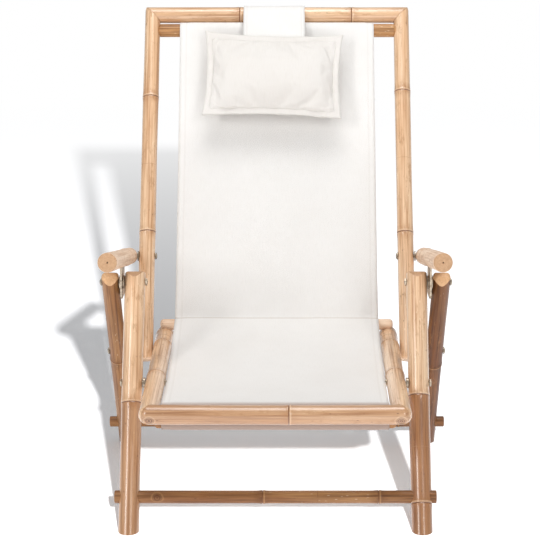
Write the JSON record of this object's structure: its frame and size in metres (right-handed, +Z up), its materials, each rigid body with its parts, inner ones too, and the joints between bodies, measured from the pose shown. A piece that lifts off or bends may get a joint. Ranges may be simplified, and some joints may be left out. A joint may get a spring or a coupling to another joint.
{
  "type": "folding recliner",
  "caption": "Folding bamboo recliner with a canvas sling seat, round armrests on slotted straps and a hanging head pillow.",
  "frame": {"origin": "on the floor, at the middle of the chair's bounding box", "axes": "+X across to the chair's right as seen from the front, +Y to the back, +Z up"},
  "size_m": [0.6, 0.6716, 0.7707],
  "materials": {
    "pale_bamboo": "lacquered pale bamboo",
    "brown_bamboo": "lacquered browner bamboo",
    "steel": "dull zinc-plated steel",
    "canvas": "plain off-white canvas",
    "pillow_cloth": "plain cream cotton"
  },
  "bodies": {
    "front_leg_frame": {"front_leg_left": "pale_bamboo", "front_leg_right": "pale_bamboo", "front_crossbar": "brown_bamboo", "leg_bolt_left": "steel", "leg_bolt_right": "steel", "leg_nut_left": "steel", "leg_nut_right": "steel", "leg_washer_inner_left": "steel", "leg_washer_inner_right": "steel", "leg_washer_outer_left": "steel", "leg_washer_outer_right": "steel", "seat_bolt_left": "steel", "seat_bolt_right": "steel", "seat_nut_left": "steel", "seat_nut_right": "steel", "seat_washer_left": "steel", "seat_washer_right": "steel"},
    "rear_leg_frame": {"rear_leg_left": "brown_bamboo", "rear_leg_right": "brown_bamboo", "rear_crossbar": "brown_bamboo", "rear_leg_bolt_left": "steel", "rear_leg_bolt_right": "steel", "rear_leg_spacer_left": "steel", "rear_leg_spacer_right": "steel"},
    "seat_frame": {"seat_rail_left": "pale_bamboo", "seat_rail_right": "pale_bamboo", "seat_front_rail": "pale_bamboo", "seat_rear_rod": "brown_bamboo", "seat_front_rod": "brown_bamboo", "canvas_seat": "canvas"},
    "back_frame": {"back_stile_left": "pale_bamboo", "back_stile_right": "pale_bamboo", "back_top_rail": "pale_bamboo", "canvas_top_rod": "brown_bamboo", "canvas_back": "canvas", "pillow": "pillow_cloth", "pillow_band": "canvas", "back_bolt_left": "steel", "back_bolt_right": "steel", "armrest_bolt_left": "steel", "armrest_bolt_right": "steel", "armrest_washer_left": "steel", "armrest_washer_right": "steel"},
    "left_armrest": {"armrest_left": "pale_bamboo", "armrest_strap_left": "steel"},
    "right_armrest": {"armrest_right": "pale_bamboo", "armrest_strap_right": "steel"}
  },
  "joints": [
    {"name": "fold", "type": "hinge", "parent": "front_leg_frame", "child": "seat_frame", "pos_m": [0, -0.17787, 0.207], "axis": [1, 0, 0], "range_deg": [0, 48]},
    {"name": "rear_leg_fold", "type": "hinge", "parent": "front_leg_frame", "child": "rear_leg_frame", "pos_m": [0, -0.09274, 0.354], "axis": [1, 0, 0], "range_deg": [-52.8, 0]},
    {"name": "back_fold", "type": "hinge", "parent": "seat_frame", "child": "back_frame", "pos_m": [0, 0.00363, 0.2095], "axis": [1, 0, 0], "range_deg": [-48, 0]},
    {"name": "left_armrest_fold", "type": "hinge", "parent": "back_frame", "child": "left_armrest", "pos_m": [-0.2572, 0.08876, 0.3565], "axis": [1, 0, 0], "range_deg": [0, 48]},
    {"name": "right_armrest_fold", "type": "hinge", "parent": "back_frame", "child": "right_armrest", "pos_m": [0.2572, 0.08876, 0.3565], "axis": [1, 0, 0], "range_deg": [0, 48]}
  ],
  "couplings": [
    {"joint": "rear_leg_fold", "follows": "fold", "ratio": -1.1},
    {"joint": "back_fold", "follows": "fold", "ratio": -1},
    {"joint": "left_armrest_fold", "follows": "fold", "ratio": 1},
    {"joint": "right_armrest_fold", "follows": "fold", "ratio": 1}
  ]
}
